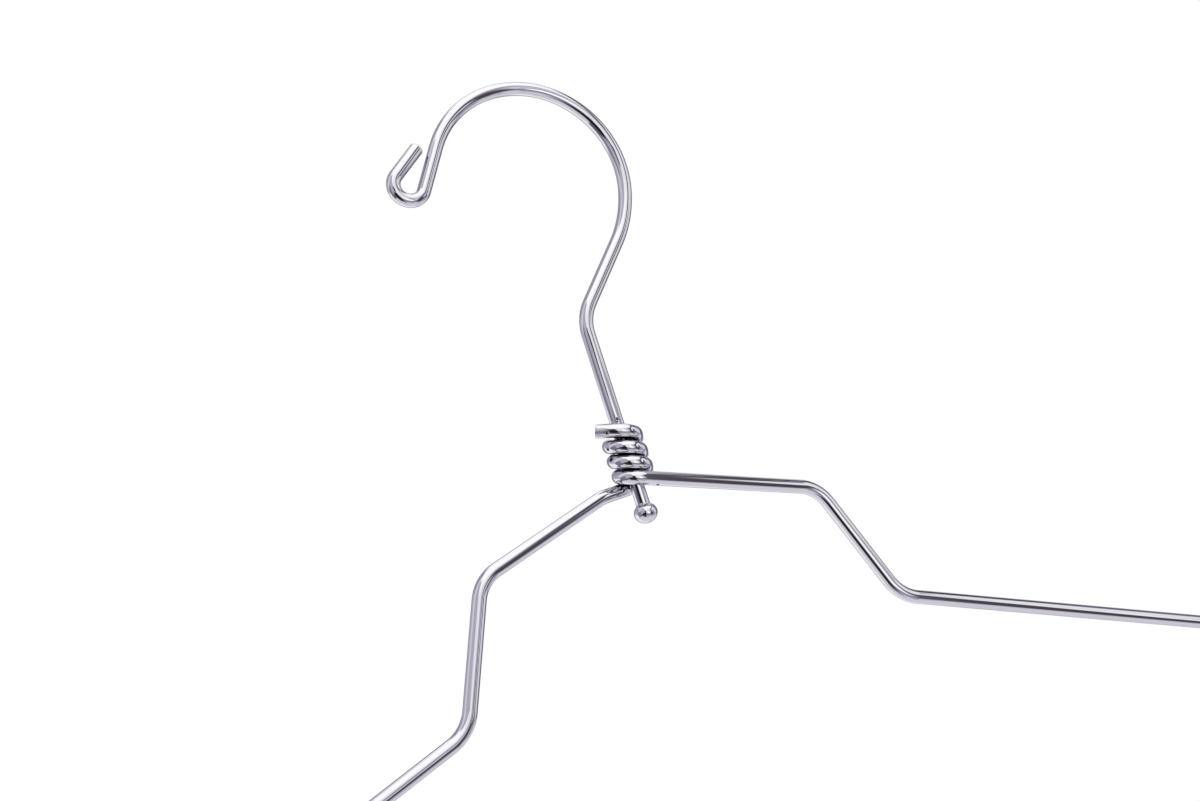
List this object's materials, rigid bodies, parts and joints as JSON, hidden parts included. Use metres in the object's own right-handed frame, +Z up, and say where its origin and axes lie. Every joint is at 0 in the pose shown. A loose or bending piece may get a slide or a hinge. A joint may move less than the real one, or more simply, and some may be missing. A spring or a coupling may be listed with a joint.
{
  "type": "suit hanger",
  "caption": "Bright steel wire suit hanger with a swivel hook, a headed shank foot, a wound coil neck and a notched shoulder frame.",
  "frame": {"origin": "highest point of the inside of the hook's bow, where the closet rod carries it", "axes": "+Z up along the shank, +X along the shoulders and the bar with the hook's tip on the -X side, -Y is the front, where the last turn of the coil leaves for the right neck arm"},
  "size_m": [0.4428, 0.0169, 0.2665],
  "materials": {
    "bright_hook_wire": "polished stainless steel wire",
    "headed_foot": "polished stainless steel, cold headed",
    "bright_frame_wire": "polished stainless steel wire"
  },
  "bodies": {
    "hook": {"hook_wire": "bright_hook_wire"},
    "stop": {"stop_head": "headed_foot"},
    "frame": {"frame_wire": "bright_frame_wire"}
  },
  "joints": [
    {"name": "hook_swivel", "type": "hinge", "parent": "hook", "child": "stop", "pos_m": [0.0026, 0, -0.1275], "axis": [0, 0, 1], "continuous": true},
    {"name": "frame_slide", "type": "slide", "parent": "stop", "child": "frame", "axis": [0, 0, 1], "range_m": [-0.005, 0.024]}
  ]
}
